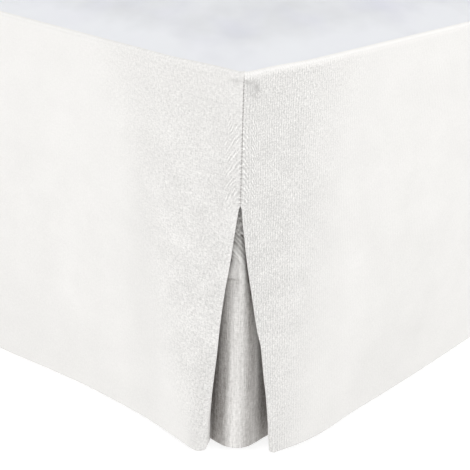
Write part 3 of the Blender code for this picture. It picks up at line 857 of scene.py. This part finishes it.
class Finish:
    """Node material with one Principled shader."""

    def __init__(self, name, roughness, metallic=0.0, sheen=0.0):
        self.material = bpy.data.materials.new(name)
        self.material.use_nodes = True
        self.tree = self.material.node_tree
        self.shader = self.tree.nodes["Principled BSDF"]
        self.shader.inputs["Roughness"].default_value = roughness
        self.shader.inputs["Metallic"].default_value = metallic
        self.shader.inputs["Sheen Weight"].default_value = sheen

    def add(self, kind, settings, sockets, output=0):
        """New node with its settings, then the values or links of its sockets. Gives one of its outputs."""
        node = self.tree.nodes.new(kind)
        for name, value in settings.items():
            setattr(node, name, value)
        for name, value in sockets.items():
            if isinstance(value, Wire):
                self.tree.links.new(value.socket, node.inputs[name])
            else:
                node.inputs[name].default_value = value
        return Wire(self, node.outputs[output])

    def link(self, wire, name):
        """Feeds one of the shader's sockets."""
        self.tree.links.new(wire.socket, self.shader.inputs[name])

    def place(self):
        """Object coordinates X, Y and Z, in metres."""
        return self.parts(self.add("ShaderNodeTexCoord", {}, {}, output="Object"))

    def cloth_map(self):
        """The sheet's own map, in metres along and down the cloth."""
        return self.parts(self.add("ShaderNodeUVMap", {"uv_map": "Cloth"}, {}))[:2]

    def field(self, name):
        """One of the sheet's own values, kept on its points."""
        return self.add("ShaderNodeAttribute", {"attribute_name": name}, {}, output="Fac")

    def parts(self, vector):
        """X, Y and Z of a vector."""
        node = self.tree.nodes.new("ShaderNodeSeparateXYZ")
        self.tree.links.new(vector.socket, node.inputs[0])
        return [Wire(self, socket) for socket in node.outputs]

    def vector(self, x, y, z=0.0):
        """Vector of three values."""
        return self.add("ShaderNodeCombineXYZ", {}, {"X": x, "Y": y, "Z": z})

    def noise(self, vector, scale, detail=2.0, roughness=0.5):
        """Noise from 0 to 1 at a number of features for each unit of the vector."""
        sockets = {"Vector": vector, "Scale": scale, "Detail": detail, "Roughness": roughness}
        return self.add("ShaderNodeTexNoise", {}, sockets, output="Fac")

    def slubs(self, cloth_map, width, length, layer=0.0, detail=2.0, roughness=0.5):
        """Noise of uneven threads, a width across and a length down, on a layer of its own."""
        across, down = cloth_map
        return self.noise(self.vector(across / width, down / length, layer), 1.0, detail, roughness)

    def blend(self, factor, first, second):
        """Mix of two colours."""
        node = self.tree.nodes.new("ShaderNodeMix")
        node.data_type = "RGBA"
        for socket, value in ((node.inputs[0], factor), (node.inputs[6], first), (node.inputs[7], second)):
            if isinstance(value, Wire):
                self.tree.links.new(value.socket, socket)
            elif socket is node.inputs[0]:
                socket.default_value = value
            else:
                socket.default_value = (*value, 1.0)
        return Wire(self, node.outputs[2])

    def paint(self, tone, dark, pale):
        """The shader's colour, from dark at tone 0 to pale at tone 1."""
        self.link(self.blend(tone, dark, pale), "Base Color")

    def bump(self, height, distance, strength=1.0):
        """Bump from a height that runs from 0 to 1 over a distance in metres."""
        sockets = {"Height": height, "Distance": distance, "Strength": strength}
        self.link(self.add("ShaderNodeBump", {}, sockets, output="Normal"), "Normal")


def scaled(colour, factor):
    """A colour made lighter or darker, kept under 1."""
    return tuple(min(channel * factor, 1.0) for channel in colour)


def linen_finish(name, cloth, weave):
    """Plain-woven linen: uneven warp threads, clearest beside the corner seams, with painted shade beside the
    seams and a painted highlight along the rolled top edge.
    """
    finish = Finish(name, roughness=0.92)
    cloth_map = finish.cloth_map()
    across, down = cloth_map
    # Band of painted highlight along the top edge, where the cloth rolls over onto the deck; the grain fades
    # in it
    top_highlight = ((down - (TOP - 0.0062)) / 0.0040).clipped()
    fallen = ((TOP - down) / DROP).clipped()
    narrowed = finish.field("from_corner") * (fallen * 1.1 + 0.9 + fallen ** 8.0 * weave.narrow)
    clear = (1.0 - (narrowed - weave.start) / weave.fade).clipped()
    clear = clear * clear * (3.0 - 2.0 * clear) * 0.83 + 0.17
    wander = finish.slubs(cloth_map, 0.030, 0.045, 11.0, detail=1.0)
    rib = (across + wander * 0.004).wave(cloth.weave_pitch)
    weft = down.ribs(cloth.weave_pitch * 0.6)
    length = finish.slubs(cloth_map, 0.0019, 0.0042, 5.0, detail=1.0)
    warp_slub = finish.slubs(cloth_map, weave.width, weave.length, roughness=0.7)
    weft_slub = finish.slubs(cloth_map, weave.width * 2.0, 0.0014, 7.0, roughness=0.7)
    slubs = warp_slub * 0.5 + weft_slub * 0.5
    contrast = (1.0 - (1.0 - fallen) ** 3.0 * weave.faint) * weave.contrast
    grain = ((slubs - 0.5) * 3.1 + rib * length * weave.ribs) * clear * contrast
    patches = finish.noise(finish.vector(across, down, 3.0), 26.0)
    mottle = finish.noise(finish.vector(across, down, 8.0), 62.0)
    middle = (fallen - fallen * fallen) * clear
    blotches = (patches - 0.5) * (middle * 0.9 + 0.13) + (mottle - 0.5) * middle * 1.3
    # Painted highlight: a thin lip at the very top, and the band below it, brighter beside the seam
    lip_highlight = ((down - (TOP - 0.0024)) / 0.0016).clipped() * (weave.edge * 0.20 + 0.17)
    edge = top_highlight * (clear * 0.30 + 0.12) * weave.edge + lip_highlight
    # Painted shade and light: the sheet's tone, the top edge's painted highlight, painted shade beside the
    # seam where the weave is clear, and a little darker towards the hem
    shade = finish.field("tone") + edge - clear * 0.17 - fallen * 0.035
    tone = (grain * (1.0 - top_highlight * weave.edge * 0.7) + blotches + shade + 0.58).clipped()
    finish.paint(tone, scaled(cloth.linen, 0.72), scaled(cloth.linen, 1.24))
    finish.bump(rib * length * 0.3 + weft * 0.15 + slubs * 0.6, 0.00030, strength=0.6)
    return finish.material


def insert_finish(cloth):
    """The insert's linen, with long warp streaks pulled straight down from the seam, and its painted shade
    and light.
    """
    finish = Finish("Insert linen", roughness=0.92)
    cloth_map = finish.cloth_map()
    streak = finish.slubs(cloth_map, 0.0022, 0.060, detail=3.0, roughness=0.65)
    thread = finish.slubs(cloth_map, 0.0010, 0.0065, 4.0, roughness=0.7)
    weft_slub = finish.slubs(cloth_map, 0.0050, 0.0011, 7.0, roughness=0.6)
    rib = cloth_map[0].ribs(cloth.weave_pitch)
    grain = (streak - 0.5) * 0.65 + (thread - 0.5) * 0.80 + (weft_slub - 0.5) * 0.40
    # The sheet's tone is painted shade and light; the dark end of the range is the linen in painted shadow
    tone = (grain * 0.8 + finish.field("tone")).clipped()
    finish.paint(tone, (0.184, 0.167, 0.155), scaled(cloth.linen, 1.32))
    finish.bump(rib * 0.2 + thread * 0.5 + weft_slub * 0.3, 0.00035, strength=0.7)
    return finish.material


def sheeting_finish(cloth):
    """Smooth thin sheeting with cool clouds, painted shade over its middle so that it is paler towards its
    edges, and a fine weave.
    """
    finish = Finish("Deck sheeting", roughness=0.80)
    across, down = finish.cloth_map()
    # Distance in from the edges, for the painted shade over the middle and for where the violet tint shows
    inside = (finish.field("from_corner") / 0.100).clipped()
    wide = across * 0.73 + down * 0.68
    long = down * 0.28 - across * 0.26
    clouds = finish.noise(finish.vector(wide, long), 12.0)
    blots = finish.noise(finish.vector(wide, long, 4.0), 30.0)
    tint = finish.noise(finish.vector(wide, long, 9.0), 16.0, detail=1.0)
    tone = ((clouds - 0.5) * 1.15 + (blots - 0.5) * 1.0 + 1.08 - inside * inside * 0.70).clipped()
    plain = finish.blend(tone, scaled(cloth.sheeting, 0.90), scaled(cloth.sheeting, 1.07))
    violet = finish.blend(tone, (0.665, 0.680, 0.755), (0.790, 0.790, 0.850))
    finish.paint(((tint - 0.46) * 3.5).clipped() * (inside * 0.8 + 0.2), plain, violet)
    fine = cloth.weave_pitch * 0.4
    finish.bump((across.ribs(fine) + down.ribs(fine)) * 0.5, 0.00008, strength=0.6)
    return finish.material


def thread_finish(cloth):
    """Twisted sewing thread, coloured a dark linen grey that paints the shade in the stitches' notches."""
    finish = Finish("Corner thread", roughness=0.85)
    x, y, z = finish.place()
    ply = ((x + y) * 9000.0 + z * 9000.0).function("SINE") * 0.5 + 0.5
    finish.paint(ply, scaled(cloth.thread, 0.8), scaled(cloth.thread, 1.2))
    finish.bump(ply, 0.00005)
    return finish.material


def ticking_finish(base):
    """Box spring cover: close twill with a faint mottle."""
    finish = Finish("Box spring ticking", roughness=0.90)
    x, y, z = finish.place()
    twill = (x + y + z).wave(0.0011) * 0.5 + 0.5
    mottle = finish.noise(finish.vector(x, y, z), 14.0, detail=4.0)
    tone = (twill * 0.35 + mottle * 0.65).clipped()
    finish.paint(tone, scaled(base.ticking, 0.86), scaled(base.ticking, 1.10))
    finish.bump(twill, 0.0002, strength=0.7)
    return finish.material


def steel_finish(base):
    """Powder-coated steel with the coat's fine orange peel."""
    finish = Finish("Powder-coated steel", roughness=0.45, metallic=0.2)
    place = finish.vector(*finish.place())
    dust = finish.noise(place, 18.0, detail=4.0)
    finish.paint(dust, scaled(base.steel, 0.8), scaled(base.steel, 1.5))
    finish.link(dust * 0.2 + 0.35, "Roughness")
    finish.bump(finish.noise(place, 900.0), 0.00006)
    return finish.material


def glide_finish():
    """Moulded plastic of the glides."""
    finish = Finish("Moulded plastic", roughness=0.55)
    x, y, z = finish.place()
    grain = finish.noise(finish.vector(x, y, z), 1400.0)
    scuffs = finish.noise(finish.vector(x, y, z * 4.0), 60.0, detail=4.0)
    finish.paint(scuffs, (0.016, 0.016, 0.018), (0.040, 0.040, 0.042))
    finish.link(grain * 0.2 + 0.45, "Roughness")
    finish.bump(grain, 0.00004)
    return finish.material


def floor_finish(studio):
    """Plain pale floor, a little brighter than its paint so that the picture's ground stays white."""
    finish = Finish("Pale floor", roughness=0.95)
    x, y, _ = finish.place()
    tone = finish.noise(finish.vector(x, y), 1.5, detail=1.0)
    finish.paint(tone, scaled(studio.floor, 0.995), scaled(studio.floor, 1.005))
    for name, value in (("Specular IOR Level", 0.0), ("Emission Color", WHITE), ("Emission Strength", 0.78)):
        finish.shader.inputs[name].default_value = value
    return finish.material


def settings():
    """The three groups of settings, kept on the scene."""
    scene = bpy.context.scene
    return scene.bed_skirt_cloth, scene.bed_skirt_base, scene.bed_skirt_studio


def keep(piece, slot, *nodes):
    """A finished piece rides on the bed, and the nodes it stands for are hidden. Its slot is not used."""
    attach(piece, "root")
    if nodes:
        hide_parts(*nodes)


class BEDSKIRT_OT_deck(bpy.types.Operator):
    """Make the deck that lies on the box spring."""

    bl_idname = "bedskirt.deck"
    bl_label = "Deck"

    def execute(self, context):
        cloth, _, _ = settings()
        piece = sheet_piece("deck_sheeting", deck_grid(), cloth.deck_thickness, sheeting_finish(cloth))
        keep(piece, "deck_cloth", "deck")
        return {"FINISHED"}


class BEDSKIRT_OT_drops(bpy.types.Operator):
    """Make the foot drop and the two side drops."""

    bl_idname = "bedskirt.drops"
    bl_label = "Drops"

    def execute(self, context):
        cloth, _, _ = settings()
        foot_linen = linen_finish("Foot linen", cloth, FOOT_WEAVE)
        side_linen = linen_finish("Side linen", cloth, SIDE_WEAVE)
        for name, node, grid, run, material in (
            ("foot_drop_linen", "foot_drop", foot_grid(), WIDTH, foot_linen),
            ("right_drop_linen", "side_drop_right", side_grid("right"), LENGTH, side_linen),
            ("left_drop_linen", "side_drop_left", side_grid("left"), LENGTH, side_linen),
        ):
            piece = sheet_piece(name, grid, cloth.thickness, material)
            keep(piece, "linen", node)
            flat = (run + 2.0 * EDGE_ALLOWANCE, CUT_DROP)
        return {"FINISHED"}


class BEDSKIRT_OT_inserts(bpy.types.Operator):
    """Make the inserts behind the two split corners."""

    bl_idname = "bedskirt.inserts"
    bl_label = "Corner inserts"

    def execute(self, context):
        cloth, _, _ = settings()
        material = insert_finish(cloth)
        for side, creases, seed in (("right", INSERT_CREASES, 41), ("left", INSERT_CREASES[2:], 43)):
            grid = insert_grid(side, creases, seed)
            piece = sheet_piece(f"{side}_insert_linen", grid, cloth.thickness, material)
            keep(piece, "linen", f"corner_insert_{side}")
        return {"FINISHED"}


def tube_rings(path, side, out, radius, sides):
    """Rings of a tube: path + radius (side cos a + out sin a), for each path point and angle."""
    angle = np.linspace(0.0, 2.0 * math.pi, sides, endpoint=False)
    ring = side[..., None, :] * np.cos(angle)[:, None] + out[..., None, :] * np.sin(angle)[:, None]
    return path[..., None, :] + radius * ring


def tubes_mesh(name, rings, closed, material):
    """Mesh of many tubes at once, rings shaped (tube, step, side, xyz). Open tubes get capped ends."""
    tubes, steps, sides, _ = rings.shape
    number = np.arange(tubes * steps * sides).reshape(tubes, steps, sides)
    ahead = np.roll(number, -1, axis=1) if closed else number[:, 1:]
    here = number if closed else number[:, :-1]
    quads = np.stack([here, np.roll(here, -1, axis=2), np.roll(ahead, -1, axis=2), ahead], axis=-1)
    faces = quads.reshape(-1, 4).tolist()
    if not closed:
        faces += number[:, 0, ::-1].tolist() + number[:, -1].tolist()
    return faces_piece(name, rings, faces, material)


def seam_stitches(side, material):
    """Bars of thread across a corner seam, one a stitch, bowed a little out of the groove."""
    depth = np.arange(0.006, SEAM - 0.001, STITCH_PITCH)
    part = np.linspace(-1.0, 1.0, 7)
    sine = math.sin(math.radians(ROUNDING_DEG[0]))
    right = side == "right"
    sign = 1.0 if right else -1.0
    foot_folds = FOOT_FOLDS if right else mirrored(FOOT_FOLDS, WIDTH)
    swing = (swing_at(foot_folds, 0.0185, depth) + swing_at(SIDES[side].folds, 0.0185, depth)) / 2.0
    meeting = CORNER_PULL * (1.0 - depth / DROP) - swing + CORNER_RADIUS * (1.0 - sine)
    meeting = meeting + (SEAM_FOLD_RADIUS + SEAM_GAP / 2.0) * sine - 0.0001
    inward = np.array([-sign * sine, sine, 0.0])
    across = np.array([sign * sine, sine, 0.0])
    corner = np.array([DECK_HIGH[0] if right else DECK_LOW[0], DECK_LOW[1], 0.0])
    middle = corner + np.array([-sign, 1.0, 0.0]) * meeting[:, None]
    middle[:, 2] = PANEL_TOP - (PANEL_TOP - HEM) * depth / DROP
    bow = 0.00035 * part ** 2
    half = STITCH_HALF * (0.70 + 0.30 * ramp(depth, 0.045, 0.045))
    path = middle[:, None] + across * (half[:, None] * part)[..., None] + inward * bow[:, None]
    path = path + 0.0003 * UP * part[:, None]
    up, out = (np.broadcast_to(way, path.shape) for way in (UP, -inward))
    rings = tube_rings(path, up, out, THREAD_RADIUS, 6)
    return tubes_mesh(f"{side}_seam_stitches", rings, False, material)


class BEDSKIRT_OT_stitches(bpy.types.Operator):
    """Sew the two corner seams."""

    bl_idname = "bedskirt.stitches"
    bl_label = "Corner stitches"

    def execute(self, context):
        cloth, _, _ = settings()
        material = thread_finish(cloth)
        for side in ("right", "left"):
            keep(seam_stitches(side, material), "linen")
        return {"FINISHED"}


def rounded_outline(inset, radius, steps):
    """Rounded rectangle around the box spring, anticlockwise: points and outward directions."""
    angle = np.linspace(0.0, math.pi / 2.0, steps)
    points = []
    outward = []
    corners = ((1, -1, -0.5), (1, 1, 0.0), (-1, 1, 0.5), (-1, -1, 1.0))
    half = (BOX_HIGH[0] - BOX_LOW[0]) / 2.0 - inset
    middle = (BOX_HIGH[1] + BOX_LOW[1]) / 2.0
    reach = (BOX_HIGH[1] - BOX_LOW[1]) / 2.0 - inset
    for x_sign, y_sign, turn in corners:
        heading = angle + turn * math.pi
        direction = np.stack([np.cos(heading), np.sin(heading)], axis=-1)
        centre = np.array([x_sign * (half - radius), middle + y_sign * (reach - radius)])
        points.append(centre + radius * direction)
        outward.append(direction)
    return np.concatenate(points), np.concatenate(outward)


def box_cover(base, material):
    """Cover of the box spring: a profile of rounded edges and bowed sides carried around a rounded rectangle.

    At each height part p the side stands out by bulge 4 p (1 - p), and the top and bottom run in to a flat
    middle.
    """
    edge = 0.010
    outline, outward = rounded_outline(0.0, COVER_RADIUS, 9)
    angle = np.linspace(0.0, math.pi / 2.0, 7)
    height = BOX_HIGH[2] - BOX_LOW[2]
    side_part = np.linspace(0.0, 1.0, 13)[1:-1]
    profile_out = np.concatenate([
        [-0.30, -0.08], edge * (np.sin(angle) - 1.0),
        base.side_bulge * 4.0 * side_part * (1.0 - side_part),
        edge * (np.cos(angle) - 1.0), [-0.08, -0.30],
    ])
    profile_up = np.concatenate([
        [0.0, 0.0], edge * (1.0 - np.cos(angle)),
        edge + (height - 2.0 * edge) * side_part,
        height - edge + edge * np.sin(angle), [height, height],
    ])
    moved = profile_out - base.side_bulge
    xy = outline[:, None] + outward[:, None] * np.maximum(moved, -COVER_RADIUS)[None, :, None]
    middle = outline.mean(axis=0)
    far = np.clip(-moved - COVER_RADIUS, 0.0, None) / 0.30
    xy = xy + (middle - xy) * far[None, :, None]
    z = BOX_LOW[2] + profile_up + 0.0 * xy[..., 0]
    points = np.concatenate([xy, z[..., None]], axis=-1)
    columns, rows = points.shape[:2]
    number = np.arange(columns * rows).reshape(columns, rows)
    ahead = np.roll(number, -1, axis=0)
    quads = np.stack([number[:, :-1], ahead[:, :-1], ahead[:, 1:], number[:, 1:]], axis=-1)
    faces = quads.reshape(-1, 4).tolist() + [number[::-1, 0].tolist(), number[:, -1].tolist()]
    piece = faces_piece("box_spring_cover", points, faces, material)
    piece.data.set_sharp_from_angle(angle=math.radians(40.0))
    return piece


class BEDSKIRT_OT_box_spring(bpy.types.Operator):
    """Cover the box spring and cord its edges."""

    bl_idname = "bedskirt.box_spring"
    bl_label = "Box spring"

    def execute(self, context):
        _, base, _ = settings()
        material = ticking_finish(base)
        keep(box_cover(base, material), "ticking", "box_spring")
        outline, outward = rounded_outline(WELT_INSET, COVER_RADIUS - WELT_INSET, 9)
        for name, height in (("top_welt", BOX_HIGH[2] - WELT_DROP), ("bottom_welt", BOX_LOW[2] + WELT_DROP)):
            path = np.concatenate([outline, np.full((len(outline), 1), height)], axis=-1)[None]
            out = np.concatenate([outward, np.zeros((len(outward), 1))], axis=-1)[None]
            rings = tube_rings(path, out, np.broadcast_to(UP, path.shape), base.welt_radius, 10)
            keep(tubes_mesh(f"box_spring_{name}", rings, True, material), "ticking")
        return {"FINISHED"}


def turned(name, rows, places, sides, material):
    """Turned pieces: a profile of (radius, height) carried around the upright axis at each place."""
    profile = np.array(rows)
    angle = np.linspace(0.0, 2.0 * math.pi, sides, endpoint=False)
    ring = np.stack([np.cos(angle), np.sin(angle), 0.0 * angle], axis=-1)
    base = np.array(places)[:, None, None, :]
    rings = base + profile[None, :, None, :1] * ring + profile[None, :, None, 1:] * UP
    return tubes_mesh(name, rings, False, material)


class BEDSKIRT_OT_frame(bpy.types.Operator):
    """Finish the steel frame and fit its glides."""

    bl_idname = "bedskirt.frame"
    bl_label = "Frame"

    def execute(self, context):
        _, base, _ = settings()
        steel = steel_finish(base)
        legs = []
        for name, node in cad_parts.items():
            if name.startswith(("side_rail", "cross_rail", "leg_")):
                node.data.materials.clear()
                node.data.materials.append(steel)
            if name.startswith("leg_"):
                low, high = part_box(name)
                legs.append(((low[0] + high[0]) / 2.0, (low[1] + high[1]) / 2.0, 0.0))
        keep(turned("leg_glides", GLIDE, legs, 40, glide_finish()), "steel")
        return {"FINISHED"}


def area_light(name, place, target, size, watts):
    """Soft box at a place, turned to a target."""
    light = bpy.data.lights.new(name, "AREA")
    light.shape = "RECTANGLE"
    light.size, light.size_y = size
    light.energy = watts
    lamp = bpy.data.objects.new(name, light)
    bpy.context.scene.collection.objects.link(lamp)
    lamp.location = place
    lamp.rotation_euler = (Vector(target) - Vector(place)).to_track_quat("-Z", "Y").to_euler()


class BEDSKIRT_OT_studio(bpy.types.Operator):
    """Set the floor, the lights and the camera."""

    bl_idname = "bedskirt.studio"
    bl_label = "Studio"

    def execute(self, context):
        _, _, studio = settings()
        scene = context.scene
        bpy.ops.mesh.primitive_plane_add(size=60.0, location=(0.0, 0.0, 0.0))
        floor = context.object
        floor.name = "pale_floor"
        floor.data.materials.append(floor_finish(studio))

        world = bpy.data.worlds.new("Studio air")
        world.use_nodes = True
        air = world.node_tree.nodes["Background"]
        air.inputs["Color"].default_value = WHITE
        air.inputs["Strength"].default_value = 0.62
        scene.world = world
        for row in LIGHTS:
            area_light(*row)

        level = Vector((math.cos(studio.heading), math.sin(studio.heading), 0.0))
        away = Vector((-level.y, level.x, 0.0))
        ahead = math.cos(studio.pitch) * away - math.sin(studio.pitch) * Vector(UP)
        upright = level.cross(ahead)
        right = math.cos(studio.roll) * level + math.sin(studio.roll) * upright
        up = math.cos(studio.roll) * upright - math.sin(studio.roll) * level
        corner = Vector((DECK_HIGH[0], DECK_LOW[1], TOP))
        per_pixel = studio.distance * SENSOR / (studio.lens * PICTURE)
        aside = (CORNER_PIXEL[0] - PICTURE / 2.0) * per_pixel
        above = (PICTURE / 2.0 - CORNER_PIXEL[1]) * per_pixel
        place = corner - ahead * studio.distance - right * aside - up * above
        camera = bpy.data.objects.new("Camera", bpy.data.cameras.new("Camera"))
        scene.collection.objects.link(camera)
        camera.data.sensor_width = SENSOR
        camera.data.lens = studio.lens
        axes = Matrix((right, up, -ahead)).transposed().to_4x4()
        camera.matrix_world = Matrix.Translation(place) @ axes
        scene.camera = camera
        scene.view_settings.view_transform = "Standard"
        return {"FINISHED"}


OPERATORS = [
    BEDSKIRT_OT_deck,
    BEDSKIRT_OT_drops,
    BEDSKIRT_OT_inserts,
    BEDSKIRT_OT_stitches,
    BEDSKIRT_OT_box_spring,
    BEDSKIRT_OT_frame,
    BEDSKIRT_OT_studio,
]


class BEDSKIRT_PT_panel(bpy.types.Panel):
    """Settings and operators of the bed skirt."""

    bl_label = "Bed skirt"
    bl_idname = "BEDSKIRT_PT_panel"
    bl_space_type = "VIEW_3D"
    bl_region_type = "UI"
    bl_category = "Bed skirt"

    def draw(self, context):
        layout = self.layout
        for group in settings():
            box = layout.box()
            for name in group.__annotations__:
                box.prop(group, name)
        for operator in OPERATORS:
            layout.operator(operator.bl_idname)


def register():
    """Registers the settings, operators and panel."""
    for part in PARTS_OF_ADDON + OPERATORS + [BEDSKIRT_PT_panel]:
        bpy.utils.register_class(part)
    bpy.types.Scene.bed_skirt_cloth = PointerProperty(type=BedSkirtCloth)
    bpy.types.Scene.bed_skirt_base = PointerProperty(type=BedSkirtBase)
    bpy.types.Scene.bed_skirt_studio = PointerProperty(type=BedSkirtStudio)


def unregister():
    """Removes what register added."""
    del bpy.types.Scene.bed_skirt_studio
    del bpy.types.Scene.bed_skirt_base
    del bpy.types.Scene.bed_skirt_cloth
    for part in reversed(PARTS_OF_ADDON + OPERATORS + [BEDSKIRT_PT_panel]):
        bpy.utils.unregister_class(part)


def main():
    """Makes every piece."""
    register()
    for operator in OPERATORS:
        getattr(bpy.ops.bedskirt, operator.bl_idname.split(".")[1])()
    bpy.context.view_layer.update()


if __name__ == "__main__":
    main()
